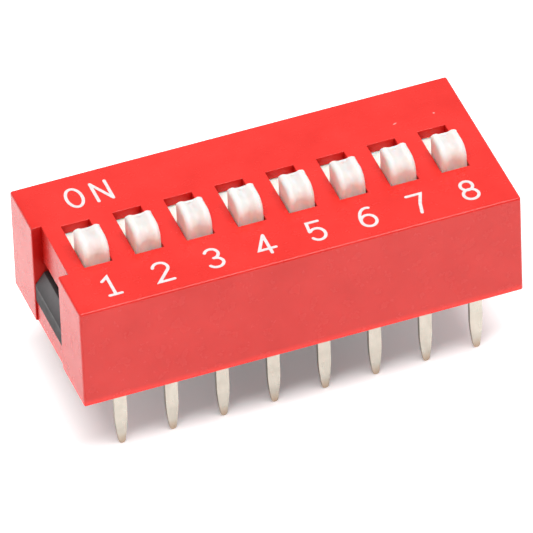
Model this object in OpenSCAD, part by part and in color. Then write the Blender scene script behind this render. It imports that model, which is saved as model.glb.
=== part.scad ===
// Eight-position slide DIP switch for through-hole boards, in millimetres.
// +X runs from position 1 to the last position, +Y points to the ON side and +Z points up.
// The origin is the middle of the terminal grid on the seating plane, the underside of the body.
// The levers are drawn in their OFF place, at the front of their slots.

/* [Switch] */
// Number of switch positions
positions = 8; // [2:1:12]
// Distance between neighbouring positions
pitch = 2.54; // [2.3:0.02:3.2]
// Distance between the front and back rows of terminals
row_spacing = 7.62; // [6.6:0.02:9.6]
// Height of the cover above the seating plane
body_h = 5.6; // [4.4:0.1:7]

/* [Cover] */
// Thickness of the cover's top
top_t = 0.5; // [0.35:0.05:0.8]
// Thickness of the cover's front and back walls
side_t = 0.7; // [0.4:0.05:1]
// Thickness of the cover's end walls
end_t = 0.8; // [0.75:0.05:1.2]
// Radius of the cover's outer edges
edge_r = 0.12; // [0.05:0.01:0.2]
// Length of a lever slot, front to back
slot_l = 3.2; // [2.6:0.1:4.2]
// Width of a lever slot
slot_w = 1.38; // [1.2:0.02:1.5]
// How far the slots' middle lies in front of the cover's middle
slot_shift = 0.1; // [0:0.05:0.3]

/* [Catches] */
// Width of the catch windows and of the recess in the left end wall
notch_w = 3.7; // [2.6:0.1:4.6]
// Depth of that recess
notch_d = 0.5; // [0.2:0.05:0.5]
// Height of the bridge that the hook catches on
bridge_h = 1.2; // [0.7:0.1:1.6]
// Depth of the left bridge's face behind the end wall's face
bridge_d = 0.1; // [0.1:0.05:0.3]
// Height of the window above the bridge
window_h = 2.35; // [2:0.05:2.6]
// Radius of the window's upper corners
window_r = 0.35; // [0.1:0.05:0.6]
// Gap between the hook and each side of its window
hook_side_gap = 0.05; // [0.05:0.05:0.5]
// Gap between the hook's top and the top of the window
hook_top_gap = 0.7; // [0.1:0.05:0.8]
// Height of the hook's upright face
hook_lip_h = 0.95; // [0.2:0.05:1]
// How far the hook stands behind the end wall's face
hook_d = 0.05; // [0.02:0.01:0.4]

/* [Levers] */
// Length of a lever's knob, front to back
knob_l = 1.55; // [1.2:0.05:1.9]
// Height of the knob above the cover
knob_h = 1.1; // [0.9:0.05:1.8]
// Radius that rolls the knob's crown over into its front face
front_r = 0.75; // [0.3:0.05:0.8]
// Radius of the crown's back edge
back_r = 0.15; // [0.05:0.05:0.3]
// Depth of the dished groove across the knob's crown and front
dish_d = 0.2; // [0.1:0.01:0.24]
// Width of the dished groove
dish_w = 1.12; // [0.8:0.02:1.14]
// Width of the flange that slides under the cover
flange_w = 1.7; // [1.5:0.05:1.8]
// Thickness of the flange
flange_t = 0.6; // [0.4:0.05:0.8]
// How far the flange laps beyond the slot when the lever is at its limit
flange_lap = 0.25; // [0.1:0.05:0.5]
// Width of the block that presses on the contact spring
block_w = 1.3; // [1:0.05:1.5]
// Length of that block
block_l = 1.9; // [1.5:0.1:2.4]
// Height of that block
block_h = 0.9; // [0.5:0.1:1.2]
// Radius of the peg that locates the contact spring
peg_r = 0.18; // [0.1:0.01:0.25]

/* [Base] */
// Thickness of the base's floor
floor_t = 1.9; // [1.4:0.1:2.4]
// Thickness of the base's front and back walls
base_side_t = 0.4; // [0.3:0.05:0.8]
// Thickness of the base's end walls
base_end_t = 0.29; // [0.2:0.01:0.6]

/* [Contacts] */
// Width of the contact spring
spring_w = 0.9; // [0.6:0.05:1.2]
// Thickness of the spring strip
spring_t = 0.12; // [0.08:0.01:0.2]
// Length of the spring's flat top
spring_top_l = 0.9; // [0.8:0.05:1.2]
// Distance from the slot's middle to the nearer contact foot when the lever is at a limit
foot_margin = 0.175; // [0.1:0.025:0.4]
// Radius of a contact foot
foot_r = 0.14; // [0.1:0.01:0.2]

/* [Terminals] */
// Thickness of the terminal strip
strip_t = 0.25; // [0.2:0.01:0.3]
// Width of the fixed contact pad
pad_w = 1.3; // [0.9:0.05:1.5]
// How far a pad reaches past the foot that rests on it
pad_reach = 0.125; // [0.1:0.025:0.2]
// Bare floor between the OFF foot and the far pad
pad_isolation = 0.425; // [0.3:0.025:0.6]
// Width of a leg where it leaves the body
leg_w = 0.64; // [0.4:0.02:0.8]
// Length of the legs below the seating plane
leg_l = 3.65; // [2.6:0.05:4.6]
// Length of the tapered end of a leg
taper_l = 1.4; // [1:0.1:2.4]
// Radius of the leg's tip
tip_r = 0.17; // [0.1:0.01:0.2]

/* [Clearances] */
// Gap round a knob in its slot, and between a sliding face and its guide
slide_gap = 0.05; // [0.02:0.01:0.1]
// Gap beside a flange in its channel
channel_gap = 0.07; // [0.04:0.01:0.15]
// Gap between the base and the cover
fit_gap = 0.05; // [0.02:0.01:0.1]
// Gap round a terminal in the base
seat_gap = 0.02; // [0.01:0.01:0.04]
// Gap between a contact foot and the floor it slides on
foot_gap = 0.04; // [0.02:0.01:0.08]

/* [Hidden] */
cut = 0.5; // how far a cut runs past the face it opens
round_fn = 48;

travel = slot_l - knob_l - 2 * slide_gap;
slot_y = -slot_shift;
off_y = slot_y - travel / 2;

cover_in_h = body_h - top_t;
flange_top = cover_in_h - slide_gap;
flange_half = slot_l / 2 + travel / 2 + flange_lap;
block_z = flange_top - flange_t - block_h;
knob_w = slot_w - 2 * slide_gap;
knob_top = body_h + knob_h;
foot_z = floor_t + foot_gap + foot_r;
foot_reach = travel / 2 + foot_margin;

channel_w = flange_w + 2 * channel_gap;
channel_half = flange_half + travel / 2 + 2 * slide_gap;
leg_cover_t = 0.165; // least base material outside a leg
base_half_w = max(channel_half + slot_shift + base_side_t, row_spacing / 2 + strip_t / 2 + leg_cover_t);
base_half_l = (positions - 1) * pitch / 2 + channel_w / 2 + base_end_t;
base_top = cover_in_h - fit_gap;

cavity_half_w = base_half_w + fit_gap;
cavity_half_l = base_half_l + fit_gap;
body_w = 2 * (cavity_half_w + side_t);
body_l = 2 * (cavity_half_l + end_t);

front_pad_end = slot_y + pad_reach - foot_margin;
back_pad_end = slot_y + foot_margin + pad_isolation;
leg_y = row_spacing / 2;

index = [for (i = [1 : positions]) i];

function position_x(i) = (i - (positions + 1) / 2) * pitch;

// A box from its lowest corner to its highest
module block(low, high) {
    translate(low) cube(high - low);
}

// A rectangle centred on x = 0 that stands on y = 0, with its two upper corners rounded
module arched_rect(w, h, r) {
    translate([-w / 2, 0]) square([w, h - r]);
    translate([-w / 2 + r, 0]) square([w - 2 * r, h]);
    for (side = [-1, 1])
        translate([side * (w / 2 - r), h - r]) circle(r, $fn = round_fn);
}

// A rectangle centred on the origin with all four corners rounded
module rounded_rect(w, h, r) {
    square([w - 2 * r, h], center = true);
    square([w, h - 2 * r], center = true);
    for (x = [-1, 1], y = [-1, 1])
        translate([x * (w / 2 - r), y * (h / 2 - r)]) circle(r, $fn = round_fn);
}

// Extrudes an outline drawn in X and Z along Y, over the given length
module extrude_y(length) {
    translate([0, length / 2, 0]) rotate([90, 0, 0]) linear_extrude(length) children();
}

// Extrudes an outline drawn in Y and Z along X, over the given length
module extrude_x(length) {
    translate([-length / 2, 0, 0]) rotate([90, 0, 90]) linear_extrude(length) children();
}

module cover_outside() {
    intersection() {
        linear_extrude(body_h) rounded_rect(body_l, body_w, edge_r);
        extrude_y(body_w + 2 * cut) arched_rect(body_l, body_h, edge_r);
        extrude_x(body_l + 2 * cut) arched_rect(body_w, body_h, edge_r);
    }
}

// The recess and the bridge's set-back at the left end
module recess_cuts() {
    face = -body_l / 2;
    half = notch_w / 2;
    block([face - cut, -half, bridge_h], [face + notch_d, half, body_h + cut]);
    block([face - cut, -half, -cut], [face + bridge_d, half, bridge_h + cut]);
}

// The catch window through the left end wall
module window_cut() {
    translate([-body_l / 2, 0, bridge_h])
        extrude_x(2 * (end_t + cut)) arched_rect(notch_w, window_h, window_r);
}

module cover() {
    color("#f2463f") difference() {
        cover_outside();
        block([-cavity_half_l, -cavity_half_w, -cut], [cavity_half_l, cavity_half_w, cover_in_h]);
        for (i = index)
            translate([position_x(i), slot_y, body_h])
                cube([slot_w, slot_l, 4 * top_t], center = true);
        recess_cuts();
        window_cut();
        mirror([1, 0, 0]) window_cut();
    }
}

// The wedge at the left end: a slope that the bridge rides over, an upright lip and a flat catch
module hook() {
    root = -base_half_l + base_end_t / 2;
    reach = -body_l / 2 + hook_d;
    catch_z = bridge_h + fit_gap;
    top_z = bridge_h + window_h - hook_top_gap;
    extrude_y(notch_w - 2 * hook_side_gap)
        polygon([
            [root, catch_z],
            [reach, catch_z],
            [reach, catch_z + hook_lip_h],
            [-body_l / 2 + notch_d, top_z],
            [root, top_z]
        ]);
}

module base() {
    color("#2b2b2d") difference() {
        union() {
            block([-base_half_l, -base_half_w, 0], [base_half_l, base_half_w, base_top]);
            hook();
            mirror([1, 0, 0]) hook();
        }
        for (i = index)
            translate([position_x(i), 0, 0]) {
                block(
                    [-channel_w / 2, slot_y - channel_half, floor_t],
                    [channel_w / 2, slot_y + channel_half, base_top + cut]
                );
                terminal_shape(front_pad_end, -1, seat_gap);
                terminal_shape(back_pad_end, 1, seat_gap);
            }
    }
}

// The knob's side outline in Y and Z, from the flange up
module knob_outline() {
    low = flange_top - flange_t / 2;
    height = knob_top - low;
    half = knob_l / 2;
    translate([-half, low]) square([knob_l, height - front_r]);
    translate([front_r - half, low]) square([knob_l - front_r - back_r, height]);
    translate([0, low]) square([half, height - back_r]);
    translate([front_r - half, knob_top - front_r]) circle(front_r, $fn = 2 * round_fn);
    translate([half - back_r, knob_top - back_r]) circle(back_r, $fn = round_fn);
}

// The groove that dishes the crown, the roll-over and the face towards the front
module dish_cuts() {
    dish_r = (dish_w * dish_w / 4 + dish_d * dish_d) / (2 * dish_d);
    ring_r = front_r + dish_r - dish_d;
    translate([0, front_r - knob_l / 2, knob_top - front_r]) {
        translate([0, 0, ring_r])
            rotate([-90, 0, 0]) cylinder(h = knob_l, r = dish_r, $fn = 2 * round_fn);
        rotate([0, 90, 0]) rotate([0, 0, 180]) rotate_extrude(angle = 90, $fn = 4 * round_fn)
            translate([ring_r, 0]) circle(dish_r, $fn = 2 * round_fn);
        translate([0, -ring_r, -knob_h - top_t + front_r])
            cylinder(h = knob_h + top_t - front_r, r = dish_r, $fn = 2 * round_fn);
    }
}

module lever(i) {
    color("#f1f0ec") translate([position_x(i), off_y, 0]) {
        difference() {
            extrude_x(knob_w) knob_outline();
            dish_cuts();
        }
        block([-flange_w / 2, -flange_half, flange_top - flange_t], [flange_w / 2, flange_half, flange_top]);
        block([-block_w / 2, -block_l / 2, block_z], [block_w / 2, block_l / 2, flange_top - flange_t / 2]);
        translate([0, 0, block_z - 2 * spring_t]) cylinder(h = 3 * spring_t, r = peg_r, $fn = round_fn);
    }
}

// The spring's side outline in Y and Z: a flat top and two arms that reach down to the feet
module spring_outline() {
    half = spring_top_l / 2;
    under = block_z - spring_t;
    polygon([
        [-half, block_z],
        [half, block_z],
        [foot_reach + spring_t / 2, foot_z],
        [foot_reach - spring_t / 2, foot_z],
        [half - spring_t / 2, under],
        [-half + spring_t / 2, under],
        [-foot_reach + spring_t / 2, foot_z],
        [-foot_reach - spring_t / 2, foot_z]
    ]);
}

module contact_spring(i) {
    color("#c9a45a") translate([position_x(i), off_y, 0]) difference() {
        union() {
            extrude_x(spring_w) spring_outline();
            for (side = [-1, 1])
                translate([0, side * foot_reach, foot_z]) rotate([0, 90, 0])
                    cylinder(h = spring_w, r = foot_r, center = true, $fn = round_fn);
        }
        translate([0, 0, block_z - spring_t - cut])
            cylinder(h = spring_t + 2 * cut, r = peg_r + seat_gap, $fn = round_fn);
    }
}

// A leg's outline in X and Z, with a tapered end and a round tip
module leg_outline(gap) {
    tip_z = -leg_l + tip_r;
    polygon([
        [-leg_w / 2 - gap, floor_t + gap],
        [leg_w / 2 + gap, floor_t + gap],
        [leg_w / 2 + gap, -leg_l + taper_l],
        [tip_r, tip_z],
        [-tip_r, tip_z],
        [-leg_w / 2 - gap, -leg_l + taper_l]
    ]);
    translate([0, tip_z]) circle(tip_r, $fn = round_fn);
}

// A pad and leg bent from one strip, on the side that the sign gives, grown by a gap for its seat
module terminal_shape(pad_end, side, gap) {
    outer = leg_y + strip_t / 2;
    pad_y = [pad_end - side * gap, side * (outer + gap)];
    block(
        [-pad_w / 2 - gap, min(pad_y), floor_t - strip_t - gap],
        [pad_w / 2 + gap, max(pad_y), floor_t + gap]
    );
    translate([0, side * leg_y, 0]) extrude_y(strip_t + 2 * gap) leg_outline(gap);
}

module terminal_front(i) {
    color("#cfc8b8") translate([position_x(i), 0, 0]) terminal_shape(front_pad_end, -1, 0);
}

module terminal_back(i) {
    color("#cfc8b8") translate([position_x(i), 0, 0]) terminal_shape(back_pad_end, 1, 0);
}

cover();
base();
for (i = index) {
    lever(i);
    contact_spring(i);
    terminal_front(i);
    terminal_back(i);
}
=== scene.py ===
"""Looks for the DIP switch: moulded plastics, tinned legs, white print, camera and studio."""

import math

import bmesh
import bpy
from mathutils import Matrix, Vector


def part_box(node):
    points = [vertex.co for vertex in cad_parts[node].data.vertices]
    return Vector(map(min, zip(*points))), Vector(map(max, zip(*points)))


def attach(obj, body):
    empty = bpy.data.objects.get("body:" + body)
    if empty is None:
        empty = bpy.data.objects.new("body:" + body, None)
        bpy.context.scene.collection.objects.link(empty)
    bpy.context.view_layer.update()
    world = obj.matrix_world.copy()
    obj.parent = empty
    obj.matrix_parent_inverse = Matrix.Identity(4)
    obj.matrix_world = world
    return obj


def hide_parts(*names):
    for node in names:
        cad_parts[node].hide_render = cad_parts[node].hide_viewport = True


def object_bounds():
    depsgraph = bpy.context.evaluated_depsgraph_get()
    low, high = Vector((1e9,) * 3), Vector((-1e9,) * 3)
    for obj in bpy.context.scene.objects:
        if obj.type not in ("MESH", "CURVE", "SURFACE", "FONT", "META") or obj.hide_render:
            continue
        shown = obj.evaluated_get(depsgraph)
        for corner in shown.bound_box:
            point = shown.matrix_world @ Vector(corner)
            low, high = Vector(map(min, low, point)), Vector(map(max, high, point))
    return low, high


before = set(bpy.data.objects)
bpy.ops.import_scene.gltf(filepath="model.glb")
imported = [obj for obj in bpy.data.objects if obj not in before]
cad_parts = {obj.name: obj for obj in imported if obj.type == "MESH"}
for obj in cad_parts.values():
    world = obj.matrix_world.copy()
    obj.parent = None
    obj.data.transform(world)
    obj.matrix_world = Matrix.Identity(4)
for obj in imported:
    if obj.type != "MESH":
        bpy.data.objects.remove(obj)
cad_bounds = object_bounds()

# ---------------------------------------------------------------- sizes, in millimetres
MM = 0.001
POSITIONS = range(1, 9)
END_X, SIDE_Y, TOP_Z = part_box("cover")[1] / MM
FOOT_Z = cad_bounds[0][2] / MM

TOP_T = 0.5
SIDE_T = 0.7
END_T = 0.8
SLOT_L = 3.2
SLOT_W = 1.38
SLOT_Y = -0.1
NOTCH_W = 3.7
NOTCH_D = 0.5
BRIDGE_H = 1.2
BRIDGE_D = 0.1
WINDOW_H = 2.35
WINDOW_R = 0.35
EDGE_R = 0.12
SLOT_EDGE_R = 0.045

KNOB_W = 1.28
KNOB_L = 1.55
KNOB_FRONT_R = 0.75
KNOB_BACK_R = 0.16
KNOB_SIDE_R = 0.2
DISH_D = 0.2
DISH_HALF = 0.43
RIM_SHARE = 0.3

FLANGE_GAP = 0.05
FLANGE_T = 0.6
FLANGE_JOIN = 0.3
BLOCK_L = 1.9
BLOCK_W = 1.3
PEG_R = 0.18
PEG_H = 0.24
PEG_JOIN = 0.12

LEG_W = 0.64
STRIP_T = 0.25
LEG_TIP_R = 0.17
LEG_TAPER_L = 1.7
LEG_TAPER_POWER = 1.6
STRIP_EDGE_R = 0.03

PRINT_T = 0.012
STROKE_W = 0.155
MITRE_LIMIT = 0.35
GLYPH_HALF_W = 0.36
GLYPH_HALF_H = 0.66
DIGIT_Y = -3.4
ON_Y = 3.17
ON_O_X = -8.32
ON_N_X = -6.97

MERGE_DIST = 0.0005
PLANE_DIST = 0.0001
SHARP_ANGLE = math.radians(35)
FLAT_ANGLE = math.radians(1)


def lever_x(i):
    low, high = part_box(f"lever_{i}")
    return (low.x + high.x) / 2 / MM


# ---------------------------------------------------------------- mesh helpers
def new_object(name, bm):
    """A mesh object from a bmesh that is drawn in millimetres."""
    bmesh.ops.recalc_face_normals(bm, faces=bm.faces)
    bmesh.ops.scale(bm, vec=(MM, MM, MM), verts=bm.verts)
    mesh = bpy.data.meshes.new(name)
    bm.to_mesh(mesh)
    bm.free()
    obj = bpy.data.objects.new(name, mesh)
    bpy.context.scene.collection.objects.link(obj)
    return obj


def apply_modifiers(obj):
    depsgraph = bpy.context.evaluated_depsgraph_get()
    mesh = bpy.data.meshes.new_from_object(obj.evaluated_get(depsgraph))
    obj.modifiers.clear()
    obj.data = mesh


def clean(obj):
    """Merges places that fall together and drops faces without an area."""
    bm = bmesh.new()
    bm.from_mesh(obj.data)
    bmesh.ops.remove_doubles(bm, verts=bm.verts, dist=MERGE_DIST * MM)
    bmesh.ops.dissolve_degenerate(bm, edges=bm.edges, dist=MERGE_DIST * MM)
    bmesh.ops.triangulate(bm, faces=[f for f in bm.faces if len(f.verts) > 4])
    bmesh.ops.dissolve_degenerate(bm, edges=bm.edges, dist=MERGE_DIST * MM)
    bm.to_mesh(obj.data)
    bm.free()


def bevel(obj, width, segments, method="ANGLE"):
    """Rounds the sharp edges, or the weighted ones, by a width in millimetres."""
    modifier = obj.modifiers.new("bevel", "BEVEL")
    modifier.width = width * MM
    modifier.segments = segments
    modifier.limit_method = method
    modifier.angle_limit = SHARP_ANGLE
    modifier.use_clamp_overlap = True
    modifier.miter_outer = "MITER_ARC"
    apply_modifiers(obj)


def smooth(obj, degrees):
    """Smooth shading that keeps edges sharper than an angle, and leaves large flat faces flat."""
    clean(obj)
    mesh = obj.data
    mesh.shade_smooth()
    mesh.set_sharp_from_angle(angle=math.radians(degrees))
    modifier = obj.modifiers.new("flat_faces", "WEIGHTED_NORMAL")
    modifier.keep_sharp = True
    apply_modifiers(obj)


def combine(target, others, operation="UNION"):
    """Joins closed meshes into one closed mesh, or cuts the others out of the first."""
    for other in others:
        modifier = target.modifiers.new("combine", "BOOLEAN")
        modifier.operation = operation
        modifier.solver = "EXACT"
        modifier.object = other
        bpy.context.view_layer.update()
        apply_modifiers(target)
        bpy.data.objects.remove(other)
    return target


def box_cells(xs, ys, zs, filled):
    """The surface of all filled cells of an uneven grid, with flat faces merged."""
    bm = bmesh.new()
    corners = {}

    def corner(i, j, k):
        if (i, j, k) not in corners:
            corners[i, j, k] = bm.verts.new((xs[i], ys[j], zs[k]))
        return corners[i, j, k]

    def solid(i, j, k):
        inside = 0 <= i < len(xs) - 1 and 0 <= j < len(ys) - 1 and 0 <= k < len(zs) - 1
        if not inside:
            return False
        middle = ((xs[i] + xs[i + 1]) / 2, (ys[j] + ys[j + 1]) / 2, (zs[k] + zs[k + 1]) / 2)
        return filled(*middle)

    square = ((0, 0), (1, 0), (1, 1), (0, 1))
    for i in range(len(xs) - 1):
        for j in range(len(ys) - 1):
            for k in range(len(zs) - 1):
                if not solid(i, j, k):
                    continue
                for step in (0, 1):
                    if not solid(i + 2 * step - 1, j, k):
                        bm.faces.new([corner(i + step, j + a, k + b) for a, b in square])
                    if not solid(i, j + 2 * step - 1, k):
                        bm.faces.new([corner(i + a, j + step, k + b) for a, b in square])
                    if not solid(i, j, k + 2 * step - 1):
                        bm.faces.new([corner(i + a, j + b, k + step) for a, b in square])
    bmesh.ops.recalc_face_normals(bm, faces=bm.faces)
    bmesh.ops.dissolve_limit(bm, angle_limit=FLAT_ANGLE, verts=bm.verts, edges=bm.edges)
    return bm


def prism(outline, axis, low, high):
    """A closed solid: an outline of 2-D points, extruded along an axis between two places."""
    bm = bmesh.new()

    def place(p, along):
        point = list(p)
        point.insert(axis, along)
        return point

    ends = [[bm.verts.new(place(p, along)) for p in outline] for along in (low, high)]
    for end in ends:
        bm.faces.new(end)
    count = len(outline)
    for n in range(count):
        m = (n + 1) % count
        bm.faces.new([ends[0][n], ends[0][m], ends[1][m], ends[1][n]])
    return bm


def rectangle(low_x, low_y, high_x, high_y):
    """An outline for a prism."""
    return [(low_x, low_y), (high_x, low_y), (high_x, high_y), (low_x, high_y)]


def arc(cx, cy, rx, ry, start, end, steps=24):
    """Points along an ellipse's arc, with its angles in degrees."""
    angles = [math.radians(start + (end - start) * n / steps) for n in range(steps + 1)]
    return [(cx + rx * math.cos(a), cy + ry * math.sin(a)) for a in angles]


def ring(cx, cy, rx, ry, start=0, count=48):
    """Points all round an ellipse."""
    steps = count - 1
    return arc(cx, cy, rx, ry, start, start + 360 * steps / count, steps)


# ---------------------------------------------------------------- materials
class Material:
    """A Principled material with its nodes, and short ways to add detail to it."""

    def __init__(self, name, color, roughness, **inputs):
        self.data = bpy.data.materials.new(name)
        self.data.use_nodes = True
        self.nodes = self.data.node_tree.nodes
        self.links = self.data.node_tree.links
        self.shader = self.nodes["Principled BSDF"]
        self.shader.inputs["Base Color"].default_value = (*color, 1)
        self.shader.inputs["Roughness"].default_value = roughness
        for key, value in inputs.items():
            self.shader.inputs[key.replace("_", " ")].default_value = value
        self.place = self.nodes.new("ShaderNodeTexCoord").outputs["Object"]

    def noise(self, per_mm, detail=3.0, rough=0.55, stretch=(1, 1, 1)):
        """Noise with the given number of features a millimetre."""
        mapping = self.nodes.new("ShaderNodeMapping")
        mapping.inputs["Scale"].default_value = [s * per_mm / MM for s in stretch]
        self.links.new(self.place, mapping.inputs["Vector"])
        noise = self.nodes.new("ShaderNodeTexNoise")
        noise.inputs["Scale"].default_value = 1.0
        noise.inputs["Detail"].default_value = detail
        noise.inputs["Roughness"].default_value = rough
        self.links.new(mapping.outputs["Vector"], noise.inputs["Vector"])
        return noise.outputs["Fac"]

    def ranged(self, value, source=(0, 1), target=(0, 1)):
        """Maps one range of values to another."""
        node = self.nodes.new("ShaderNodeMapRange")
        node.inputs["From Min"].default_value, node.inputs["From Max"].default_value = source
        node.inputs["To Min"].default_value, node.inputs["To Max"].default_value = target
        self.links.new(value, node.inputs["Value"])
        return node.outputs["Result"]

    def spread(self, value, low=0, high=1):
        """Maps the middle of a noise value to a range."""
        return self.ranged(value, (0.3, 0.7), (low, high))

    def coordinate(self, axis):
        split = self.nodes.new("ShaderNodeSeparateXYZ")
        self.links.new(self.place, split.inputs["Vector"])
        return split.outputs[axis]

    def height(self, start_mm, end_mm):
        """Goes from 0 to 1 between two heights."""
        return self.ranged(self.coordinate("Z"), (start_mm * MM, end_mm * MM))

    def open_share(self, reach_mm, shut, only_local=True):
        """How open a place is to its surroundings: 1 on open faces, down to 0 when shut in."""
        node = self.nodes.new("ShaderNodeAmbientOcclusion")
        node.samples = 8
        node.only_local = only_local
        node.inputs["Distance"].default_value = reach_mm * MM
        return self.ranged(node.outputs["AO"], (shut, 1))

    def mix(self, factor, color_a, color_b):
        """A blend of two colours, each a tuple or another node's output."""
        node = self.nodes.new("ShaderNodeMix")
        node.data_type = "RGBA"
        self.links.new(factor, node.inputs["Factor"])
        for socket, color in (("A", color_a), ("B", color_b)):
            target = [s for s in node.inputs if s.name == socket and s.type == "RGBA"][0]
            if isinstance(color, tuple):
                target.default_value = (*color, 1)
            else:
                self.links.new(color, target)
        return [s for s in node.outputs if s.type == "RGBA"][0]

    def color(self, value):
        self.links.new(value, self.shader.inputs["Base Color"])

    def roughness(self, value):
        self.links.new(value, self.shader.inputs["Roughness"])

    def specular(self, value):
        self.links.new(value, self.shader.inputs["Specular IOR Level"])

    def bump(self, value, depth_mm, strength):
        node = self.nodes.new("ShaderNodeBump")
        node.inputs["Strength"].default_value = strength
        node.inputs["Distance"].default_value = depth_mm * MM
        self.links.new(value, node.inputs["Height"])
        self.links.new(node.outputs["Normal"], self.shader.inputs["Normal"])


def cover_material():
    """Red moulded plastic: satin face with faint flow clouds, a lower rim lightened by painted floor
    bounce, and painted shade, deep red with little shine, where it is shut in."""
    dull, bright = (0.58, 0.018, 0.013), (0.65, 0.026, 0.020)
    # Painted light: the brighter red lightens the lowest part of the faces as floor bounce would, and
    # the deep red is painted shade where the cover is shut in.
    rim, crevice_shade = (0.88, 0.03, 0.02), (0.36, 0.004, 0.003)
    bounce_fade_z, bounce_full_z = 0.4, 0.05
    m = Material("cover_red_plastic", (0.7, 0.018, 0.014), 0.26, IOR=1.44)
    plain = m.mix(m.spread(m.noise(0.45, detail=5)), dull, bright)
    floor_bounce_lit = m.mix(m.height(bounce_fade_z, bounce_full_z), plain, rim)
    daylight = m.open_share(reach_mm=1.2, shut=0.58)
    m.color(m.mix(daylight, crevice_shade, floor_bounce_lit))
    # Painted shade on the reflection: the shine fades where the cover is shut in.
    m.specular(m.ranged(daylight, target=(0.05, 0.45)))
    m.roughness(m.spread(m.noise(1.6, detail=4), 0.23, 0.29))
    m.bump(m.noise(3, detail=2), depth_mm=0.001, strength=0.1)
    return m.data


def base_material():
    """Black moulded plastic, duller than the cover, and darker in the lower half of its windows and
    where the cover closes round it, all painted shade.
    """
    dull, bright = (0.1, 0.095, 0.098), (0.13, 0.122, 0.125)
    # Painted shade: darker where the cover closes round the base, and low in the windows, whose lower
    # faces see the shadowed floor.
    crevice_shade, painted_light_low_down = (0.02, 0.018, 0.018), (0.03, 0.028, 0.029)
    dark_z, plain_z = BRIDGE_H + 0.75, BRIDGE_H + 1.6
    dim_reflection_z, full_reflection_z = BRIDGE_H + 0.7, BRIDGE_H + 1.5
    m = Material("base_black_plastic", (0.07, 0.066, 0.068), 0.5, IOR=1.45)
    plain = m.mix(m.spread(m.noise(0.8, detail=4)), dull, bright)
    shaded = m.mix(m.open_share(reach_mm=1.0, shut=0.35, only_local=False), crevice_shade, plain)
    m.color(m.mix(m.height(dark_z, plain_z), painted_light_low_down, shaded))
    # Painted shade on the reflection: less shine low in the windows.
    m.specular(m.ranged(m.height(dim_reflection_z, full_reflection_z), target=(0.12, 0.5)))
    m.roughness(m.spread(m.noise(3, detail=4), 0.44, 0.58))
    m.bump(m.noise(8, detail=4), depth_mm=0.004, strength=0.35)
    return m.data


def lever_material():
    """Natural nylon, off-white, that lets a little light in and looks warmer low down, where light
    bounced from the red cover is painted in.
    """
    # Painted light: the warm, brighter colour low down stands in for light bounced from the red cover.
    dull, bright, painted_light_low_down = (0.55, 0.55, 0.54), (0.6, 0.6, 0.59), (0.84, 0.7, 0.63)
    warm_z, crown_z = TOP_Z + 0.1, TOP_Z + 1.0
    m = Material("lever_nylon", (0.62, 0.61, 0.585), 0.5, IOR=1.45, Subsurface_Weight=0.85,
                 Subsurface_Radius=(1.5, 0.65, 0.5), Subsurface_Scale=1.1 * MM)
    crown = m.mix(m.spread(m.noise(0.9, detail=3)), dull, bright)
    m.color(m.mix(m.height(warm_z, crown_z), painted_light_low_down, crown))
    m.roughness(m.spread(m.noise(4, detail=4), 0.46, 0.58))
    m.bump(m.noise(7, detail=3), depth_mm=0.002, strength=0.25)
    return m.data


def tin_material():
    """Tin-plated strip: warm grey, with fine rolling marks along the leg and a browner tip, which is a
    painted reflection of the shaded floor it stands on.
    """
    # The browner tip is a painted reflection of the floor's contact shade.
    dull, bright, tip = (0.43, 0.41, 0.35), (0.51, 0.485, 0.42), (0.46, 0.36, 0.26)
    plain_z, tip_z = FOOT_Z + 0.65, FOOT_Z + 0.05
    m = Material("tinned_strip", (0.57, 0.51, 0.43), 0.3, Metallic=1.0)
    plain = m.mix(m.spread(m.noise(1.5, detail=5)), dull, bright)
    m.color(m.mix(m.height(plain_z, tip_z), plain, tip))
    m.roughness(m.spread(m.noise(3, detail=5, stretch=(2, 2, 0.4)), 0.24, 0.42))
    m.bump(m.noise(4, detail=4, stretch=(3, 3, 0.12)), depth_mm=0.012, strength=0.5)
    return m.data


def spring_material():
    """Rolled copper-alloy strip of the contact springs."""
    dull, bright = (0.76, 0.54, 0.25), (0.86, 0.65, 0.34)
    m = Material("spring_strip", (0.8, 0.58, 0.28), 0.3, Metallic=1.0)
    m.color(m.mix(m.spread(m.noise(2, detail=4)), dull, bright))
    m.roughness(m.spread(m.noise(4, detail=4, stretch=(3, 0.5, 1)), 0.24, 0.4))
    m.bump(m.noise(6, detail=4, stretch=(4, 0.5, 1)), depth_mm=0.004, strength=0.3)
    return m.data


def print_material():
    """White pad-printed ink, a little uneven."""
    thin, thick = (0.54, 0.49, 0.49), (0.63, 0.6, 0.6)
    m = Material("white_ink", (0.6, 0.57, 0.57), 0.5)
    m.color(m.mix(m.spread(m.noise(5, detail=3)), thin, thick))
    m.bump(m.noise(8, detail=3), depth_mm=0.002, strength=0.3)
    return m.data


def speck_material():
    """Ink so thin that the red shows through."""
    thin, thick = (0.68, 0.16, 0.14), (0.7, 0.32, 0.3)
    m = Material("thin_ink", (0.7, 0.25, 0.22), 0.5)
    m.color(m.mix(m.spread(m.noise(9, detail=3)), thin, thick))
    return m.data


RED = cover_material()
BLACK = base_material()
WHITE = lever_material()
TIN = tin_material()
SPRING = spring_material()
INK = print_material()
THIN_INK = speck_material()


def paint(obj, material):
    obj.data.materials.clear()
    obj.data.materials.append(material)


def finish_piece(obj, body, slot, material, *replaced):
    """Gives a piece its material and its body, and hides the CAD nodes that it stands for. The slot
    argument is not used.
    """
    paint(obj, material)
    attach(obj, body)
    if replaced:
        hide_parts(*replaced)


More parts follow.
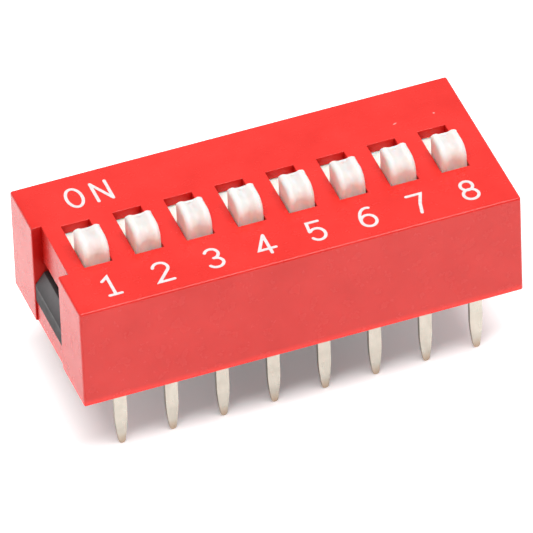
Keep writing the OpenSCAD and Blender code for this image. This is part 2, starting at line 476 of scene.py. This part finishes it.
# ---------------------------------------------------------------- cover
def make_shell():
    """The cover's flat-faced box: open below, with the slots and the left end's recess."""
    inner_x = END_X - END_T
    inner_y = SIDE_Y - SIDE_T
    ceiling = TOP_Z - TOP_T
    slots = [(lever_x(i) - SLOT_W / 2, lever_x(i) + SLOT_W / 2) for i in POSITIONS]
    ends = [-END_X, BRIDGE_D - END_X, NOTCH_D - END_X, -inner_x, inner_x, END_X]
    xs = sorted(ends + [x for slot in slots for x in slot])
    ys = sorted([side * y for y in (SIDE_Y, inner_y, NOTCH_W / 2) for side in (-1, 1)]
                + [SLOT_Y - SLOT_L / 2, SLOT_Y + SLOT_L / 2])
    zs = [0, BRIDGE_H, ceiling, TOP_Z]

    def filled(x, y, z):
        ax, ay = abs(x), abs(y)
        if ax < inner_x and ay < inner_y and z < ceiling:
            return False
        if z > ceiling and abs(y - SLOT_Y) < SLOT_L / 2 and any(a < x < b for a, b in slots):
            return False
        if ay < NOTCH_W / 2:
            if x < NOTCH_D - END_X and z > BRIDGE_H:
                return False
            if x < BRIDGE_D - END_X:
                return False
        return True

    return new_object("shell", box_cells(xs, ys, zs, filled))


def cut_windows(shell):
    """Cuts a window with rounded upper corners over the bridge at each end."""
    half, turn_z = NOTCH_W / 2, BRIDGE_H + WINDOW_H - WINDOW_R
    turn_steps = 6
    outline = [(-half, BRIDGE_H), (half, BRIDGE_H)]
    outline += arc(half - WINDOW_R, turn_z, WINDOW_R, WINDOW_R, 0, 90, turn_steps)
    outline += arc(WINDOW_R - half, turn_z, WINDOW_R, WINDOW_R, 90, 180, turn_steps)
    reach = (END_X - END_T - WINDOW_R, END_X + WINDOW_R)
    windows = [prism(outline, 0, *sorted((side * reach[0], side * reach[1]))) for side in (-1, 1)]
    combine(shell, [new_object("window", window) for window in windows], "DIFFERENCE")


def near(a, b):
    return abs(a - b) < PLANE_DIST


def weigh_edges(bm):
    """Marks the sharp edges between two outer faces for a full rounding, and the other sharp edges
    of an outer face for a small one."""
    weight = bm.edges.layers.float.new("bevel_weight_edge")
    for e in bm.edges:
        if len(e.link_faces) != 2 or e.calc_face_angle(0) < SHARP_ANGLE:
            continue
        a, b = (v.co for v in e.verts)
        outside = [
            near(abs(a.x), END_X) and near(abs(b.x), END_X),
            near(abs(a.y), SIDE_Y) and near(abs(b.y), SIDE_Y),
            near(a.z, TOP_Z) and near(b.z, TOP_Z),
        ]
        if sum(outside) >= 2:
            e[weight] = 1.0
        elif any(outside):
            e[weight] = SLOT_EDGE_R / EDGE_R


def make_cover():
    """The red cover: a thin box with slots, a recess, windows and bridges, and rounded edges."""
    shell = make_shell()
    cut_windows(shell)
    bm = bmesh.new()
    bm.from_mesh(shell.data)
    bpy.data.objects.remove(shell)
    bmesh.ops.scale(bm, vec=(1 / MM, 1 / MM, 1 / MM), verts=bm.verts)
    bmesh.ops.remove_doubles(bm, verts=bm.verts, dist=MERGE_DIST)
    bmesh.ops.dissolve_limit(bm, angle_limit=FLAT_ANGLE, verts=bm.verts, edges=bm.edges)
    weigh_edges(bm)
    cover = new_object("cover_shell", bm)
    bevel(cover, EDGE_R, segments=3, method="WEIGHT")
    smooth(cover, 40)
    finish_piece(cover, "housing", "cover_plastic", RED, "cover")


# ---------------------------------------------------------------- levers
def knob_profile(bottom, top):
    """The knob's side outline from its front foot over the crown to its back foot, as places with
    their outward direction and the share of the groove that they take."""
    half = KNOB_L / 2
    rise, turn, run = 8, 16, 6
    front, back = KNOB_FRONT_R, KNOB_BACK_R
    points = []
    for n in range(rise + 1):
        z = bottom + (top - front - bottom) * n / rise
        points.append(((-half, z), (-1, 0), RIM_SHARE + (1 - RIM_SHARE) * n / rise))
    for n in range(1, turn + 1):
        a = math.pi - math.pi / 2 * n / turn
        way = (math.cos(a), math.sin(a))
        points.append(((-half + front + front * way[0], top - front + front * way[1]), way, 1.0))
    for n in range(1, run + 1):
        y = -half + front + (KNOB_L - front - back) * n / run
        points.append(((y, top), (0, 1), 1.0))
    for n in range(1, turn + 1):
        a = math.pi / 2 - math.pi / 2 * n / turn
        way = (math.cos(a), math.sin(a))
        points.append(((half - back + back * way[0], top - back + back * way[1]), way, way[1]))
    for n in range(1, rise + 1):
        z = top - back + (bottom - top + back) * n / rise
        points.append(((half, z), (1, 0), 0.0))
    return points


def knob_section():
    """Places across the knob from side to side, each with its depth and whether it's on the rim:
    round side edges, and the dish between them."""
    half = KNOB_W / 2
    turn, dish = 4, 10
    across = []
    for n in range(turn + 1):
        a = math.pi / 2 * n / turn
        x = half - KNOB_SIDE_R + KNOB_SIDE_R * math.cos(a)
        across.append((x, KNOB_SIDE_R * (1 - math.sin(a)), True))
    for n in range(dish + 1):
        x = DISH_HALF * (1 - n / dish)
        across.append((x, DISH_D * (1 + math.cos(math.pi * x / DISH_HALF)) / 2, False))
    return across + [(-x, depth, on_rim) for x, depth, on_rim in reversed(across[:-1])]


def make_knob(name, x_mid, y_mid, bottom, top):
    """A dished knob: the section swept over the profile."""
    across = knob_section()
    bm = bmesh.new()
    rows = []
    for (y, z), (wy, wz), share in knob_profile(bottom, top):
        row = []
        for x, depth, on_rim in across:
            inward = depth * (max(share, RIM_SHARE) if on_rim else share)
            row.append(bm.verts.new((x_mid + x, y_mid + y - wy * inward, z - wz * inward)))
        rows.append(row)
    for r in range(len(rows) - 1):
        for c in range(len(across) - 1):
            bm.faces.new([rows[r][c], rows[r][c + 1], rows[r + 1][c + 1], rows[r + 1][c]])
    bm.faces.new([row[0] for row in rows])
    bm.faces.new([row[-1] for row in rows])
    bm.faces.new(rows[0] + rows[-1][::-1])
    return new_object(name, bm)


def make_lever(i):
    """One white lever: a knob with soft side edges, on its flange, block and peg."""
    low, high = (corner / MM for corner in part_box(f"lever_{i}"))
    x_mid = (low.x + high.x) / 2
    y_mid = (low.y + high.y) / 2
    flange_top = TOP_Z - TOP_T - FLANGE_GAP
    block_low = low.z + PEG_H
    knob = make_knob(f"lever_knob_{i}", x_mid, y_mid, flange_top - FLANGE_JOIN, high.z)
    flange_side = rectangle(low.y, flange_top - FLANGE_T, high.y, flange_top)
    flange = new_object("flange", prism(flange_side, 0, low.x, high.x))
    block_side = rectangle(y_mid - BLOCK_L / 2, block_low, y_mid + BLOCK_L / 2, flange_top - FLANGE_JOIN)
    block = new_object("block", prism(block_side, 0, x_mid - BLOCK_W / 2, x_mid + BLOCK_W / 2))
    peg_round = ring(x_mid, y_mid, PEG_R, PEG_R, count=24)
    peg = new_object("peg", prism(peg_round, 2, low.z, block_low + PEG_JOIN))
    combine(knob, [flange, block, peg])
    smooth(knob, 50)
    finish_piece(knob, f"slider_{i}", "lever_plastic", WHITE, f"lever_{i}")


# ---------------------------------------------------------------- terminals
def leg_outline(x_mid, bottom, top):
    """A straight leg that tapers to a round tip."""
    half = LEG_W / 2
    tip_z = bottom + LEG_TIP_R
    taper_z = bottom + LEG_TAPER_L
    taper_steps = 10
    taper = []
    for n in range(taper_steps):
        t = n / taper_steps
        width = LEG_TIP_R + (half - LEG_TIP_R) * (1 - t ** LEG_TAPER_POWER)
        taper.append((width, taper_z + (tip_z - taper_z) * t))
    left = [(x_mid - half, top)] + [(x_mid - w, z) for w, z in taper]
    right = [(x_mid + w, z) for w, z in reversed(taper)] + [(x_mid + half, top)]
    return left + arc(x_mid, tip_z, LEG_TIP_R, LEG_TIP_R, 180, 360, 12) + right


def make_terminal(row, i):
    """A pad and its leg, with the sheared strip's edges softened."""
    node = f"terminal_{row}_{i}"
    low, high = (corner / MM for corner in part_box(node))
    outer_y = low.y if row == "front" else high.y
    inner_y = outer_y + STRIP_T if row == "front" else outer_y - STRIP_T
    outline = leg_outline((low.x + high.x) / 2, low.z, high.z)
    leg = new_object(f"leg_{row}_{i}", prism(outline, 1, *sorted((outer_y, inner_y))))
    pad_outline = rectangle(low.x, low.y, high.x, high.y)
    pad = new_object("pad", prism(pad_outline, 2, high.z - STRIP_T, high.z))
    combine(leg, [pad])
    bevel(leg, STRIP_EDGE_R, segments=2)
    smooth(leg, 35)
    finish_piece(leg, "housing", "tinned_strip", TIN, node)


# ---------------------------------------------------------------- print
def ribbon(points, closed):
    """Left and right edges of a band of even width along points, with mitred corners."""
    half = STROKE_W / 2
    count = len(points)
    left, right = [], []
    for n, p in enumerate(points):
        before = points[n - 1] if n or closed else p
        after = points[(n + 1) % count] if n < count - 1 or closed else p
        ways = [(Vector(b) - Vector(a)).normalized() for a, b in ((before, p), (p, after)) if a != b]
        way = sum(ways, Vector((0, 0))).normalized()
        across = Vector((-way.y, way.x))
        first_across = Vector((-ways[0].y, ways[0].x))
        reach = half / max(MITRE_LIMIT, abs(across.dot(first_across)))
        left.append(Vector(p) + across * reach)
        right.append(Vector(p) - across * reach)
    return left, right


def rotate(way, degrees):
    return Matrix.Rotation(math.radians(degrees), 2) @ way


def line_band(points):
    """A closed solid band along points, with round ends."""
    left, right = ribbon(points, False)
    cap_steps = 8
    caps = []
    for place, toward in ((points[-1], points[-2]), (points[0], points[1])):
        way = (Vector(place) - Vector(toward)).normalized()
        turns = [90 - 180 * n / cap_steps for n in range(1, cap_steps)]
        caps.append([Vector(place) + rotate(way, t) * STROKE_W / 2 for t in turns])
    return prism([tuple(p) for p in left + caps[0] + right[::-1] + caps[1]], 2, 0, PRINT_T)


def loop_band(points):
    """A closed solid band along points, joined end to end."""
    left, right = ribbon(points, True)
    bm = bmesh.new()
    edges = [[bm.verts.new((*p, z)) for p in side] for z in (0, PRINT_T) for side in (left, right)]
    low_left, low_right, high_left, high_right = edges
    flat = ((low_left, low_right), (high_left, high_right))
    upright = ((low_left, high_left), (low_right, high_right))
    for a, b in flat + upright:
        for n in range(len(points)):
            m = (n + 1) % len(points)
            bm.faces.new([a[n], a[m], b[m], b[n]])
    return bm


W, H = GLYPH_HALF_W, GLYPH_HALF_H
GLYPHS = {
    "O": [(loop_band, ring(0, 0, W + 0.02, H))],
    "N": [(line_band, [(-W, -H), (-W, H)]),
          (line_band, [(-W, H), (W, -H)]),
          (line_band, [(W, -H), (W, H)])],
    "1": [(line_band, [(-0.3, 0.4), (0.02, H), (0.02, -H)]),
          (line_band, [(-0.28, -H), (0.32, -H)])],
    "2": [(line_band, arc(0, H - W, W, W, 165, -42) + [(-W, -H), (W + 0.02, -H)])],
    "3": [(line_band, arc(0, 0.33, 0.32, 0.33, 155, -90)),
          (line_band, arc(0, -0.33, W, 0.33, 90, -155))],
    "4": [(line_band, [(0.12, -H), (0.12, H)]),
          (line_band, [(0.1, H - 0.03), (-0.4, -0.34), (0.42, -0.34)])],
    "5": [(line_band, [(0.3, H), (-0.26, H), (-0.31, 0.02)]),
          (line_band, arc(0, -0.24, W, 0.42, 140, -150))],
    "6": [(loop_band, ring(0, -0.25, W, 0.41)),
          (line_band, arc(0.14, -0.25, 0.5, 0.91, 74, 180))],
    "7": [(line_band, [(-W, H), (W, H), (0.1, 0.0), (-0.05, -H)])],
    "8": [(loop_band, ring(0, 0.34, 0.29, 0.32)),
          (loop_band, ring(0, -0.3, W, 0.36, start=3))],
}


def make_glyph(letter, name, x, y):
    """One printed character on the cover's top."""
    strokes = []
    for n, (band, points) in enumerate(GLYPHS[letter]):
        strokes.append(new_object(name if n == 0 else "stroke", band(points)))
    glyph = combine(strokes[0], strokes[1:])
    glyph.location = Vector((x, y, TOP_Z)) * MM
    smooth(glyph, 30)
    finish_piece(glyph, "housing", "white_print", INK)


def make_speck(name, x, y, radius, stretch, turn):
    """A tiny stray spot of ink."""
    speck = new_object(name, prism(ring(0, 0, radius * stretch, radius, count=16), 2, 0, PRINT_T))
    speck.location = Vector((x, y, TOP_Z)) * MM
    speck.rotation_euler.z = math.radians(turn)
    finish_piece(speck, "housing", "white_print", THIN_INK)


# ---------------------------------------------------------------- build
make_cover()
for i in POSITIONS:
    make_lever(i)
    for row in ("front", "back"):
        make_terminal(row, i)
    make_glyph(str(i), f"digit_{i}", lever_x(i), DIGIT_Y)
    paint(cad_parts[f"contact_spring_{i}"], SPRING)
make_glyph("O", "letter_o", ON_O_X, ON_Y)
make_glyph("N", "letter_n", ON_N_X, ON_Y)
make_speck("ink_speck_1", x=7.43, y=2.46, radius=0.035, stretch=3.0, turn=20)
make_speck("ink_speck_2", x=9.41, y=2.5, radius=0.045, stretch=1.2, turn=0)
paint(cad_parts["base"], BLACK)


# ---------------------------------------------------------------- studio, in metres
FLOOR_HALF = 0.6
FLOOR_GLOW = 0.17
# Painted light: the floor glows more beside the switch's ends to lift the shadow there.
FLOOR_GLOW_ENDS = 0.3
GLOW_START_X = 2 * MM
GLOW_END_X = 10 * MM
WORLD_FRONT = 0.06
WORLD_BACK = 0.65

KEY_PLACE = (0.01, -0.076, 0.33)
KEY_SIZE = (0.42, 0.17)
KEY_POWER = 1.95

CAMERA_AZIMUTH = 18.966
CAMERA_ELEVATION = 40.386
CAMERA_ROLL = -2.393
CAMERA_DISTANCE = 0.5512
CAMERA_LENS = 792.7
AIM_RIGHT = -0.10 * MM
AIM_UP = 0.74 * MM
AIM_LIFT = 0.2 * MM


def make_key_light():
    """One large soft light above the switch, aimed at its middle."""
    data = bpy.data.lights.new("key", "AREA")
    data.shape = "RECTANGLE"
    data.size, data.size_y = KEY_SIZE
    data.energy = KEY_POWER
    light = bpy.data.objects.new("key", data)
    light.location = KEY_PLACE
    light.rotation_euler = (-Vector(KEY_PLACE)).to_track_quat("-Z", "Y").to_euler()
    bpy.context.scene.collection.objects.link(light)


def floor_material():
    """Faintly glowing white paper, more so beside the switch's ends, where the extra glow is painted
    light that lifts the shadow, and clear from below.
    """
    m = Material("floor_paper", (0.93, 0.93, 0.93), 0.6)
    m.shader.inputs["Emission Color"].default_value = (1, 1, 1, 1)
    aside = m.nodes.new("ShaderNodeMath")
    aside.operation = "ABSOLUTE"
    m.links.new(m.coordinate("X"), aside.inputs[0])
    glow = m.ranged(aside.outputs["Value"], (GLOW_START_X, GLOW_END_X), (FLOOR_GLOW, FLOOR_GLOW_ENDS))
    m.links.new(glow, m.shader.inputs["Emission Strength"])
    m.color(m.mix(m.spread(m.noise(0.5)), (0.925, 0.925, 0.925), (0.935, 0.935, 0.935)))
    side = m.nodes.new("ShaderNodeNewGeometry")
    clear = m.nodes.new("ShaderNodeBsdfTransparent")
    both = m.nodes.new("ShaderNodeMixShader")
    m.links.new(side.outputs["Backfacing"], both.inputs[0])
    m.links.new(m.shader.outputs["BSDF"], both.inputs[1])
    m.links.new(clear.outputs["BSDF"], both.inputs[2])
    m.links.new(both.outputs["Shader"], m.nodes["Material Output"].inputs["Surface"])
    return m.data


def make_floor():
    """A white sheet that the legs stand on; from below it is clear, so the underside can be seen."""
    bm = bmesh.new()
    bmesh.ops.create_grid(bm, x_segments=1, y_segments=1, size=FLOOR_HALF / MM)
    floor = new_object("studio_floor", bm)
    floor.location.z = cad_bounds[0][2]
    floor.data.materials.append(floor_material())


def make_world():
    """White surroundings, brighter behind the switch than in front of it."""
    world = bpy.data.worlds.new("studio")
    world.use_nodes = True
    nodes, links = world.node_tree.nodes, world.node_tree.links
    place = nodes.new("ShaderNodeTexCoord")
    split = nodes.new("ShaderNodeSeparateXYZ")
    level = nodes.new("ShaderNodeMapRange")
    level.inputs["From Min"].default_value = -1
    level.inputs["To Min"].default_value = WORLD_FRONT
    level.inputs["To Max"].default_value = WORLD_BACK
    links.new(place.outputs["Generated"], split.inputs["Vector"])
    links.new(split.outputs["Y"], level.inputs["Value"])
    background = nodes["Background"]
    background.inputs["Color"].default_value = (1, 1, 1, 1)
    links.new(level.outputs["Result"], background.inputs["Strength"])
    bpy.context.scene.world = world


def make_camera():
    """A long lens that looks down on the switch from its left front corner."""
    azimuth, elevation, roll = (
        math.radians(a) for a in (CAMERA_AZIMUTH, CAMERA_ELEVATION, CAMERA_ROLL))
    forward = Vector((
        math.sin(azimuth) * math.cos(elevation),
        math.cos(azimuth) * math.cos(elevation),
        -math.sin(elevation),
    ))
    level = Vector((math.cos(azimuth), -math.sin(azimuth), 0))
    upright = level.cross(forward)
    right = level * math.cos(roll) + upright * math.sin(roll)
    up = upright * math.cos(roll) - level * math.sin(roll)
    place = right * AIM_RIGHT + up * AIM_UP - forward * CAMERA_DISTANCE + Vector((0, 0, AIM_LIFT))
    data = bpy.data.cameras.new("photo_camera")
    data.lens = CAMERA_LENS
    data.sensor_width = 36
    data.clip_start = 0.01
    data.clip_end = 10
    camera = bpy.data.objects.new("photo_camera", data)
    turn = Matrix((right, up, -forward)).transposed().to_4x4()
    camera.matrix_world = Matrix.Translation(place) @ turn
    bpy.context.scene.collection.objects.link(camera)
    bpy.context.scene.camera = camera


make_floor()
make_world()
make_camera()
make_key_light()
bpy.context.scene.view_settings.view_transform = "Standard"
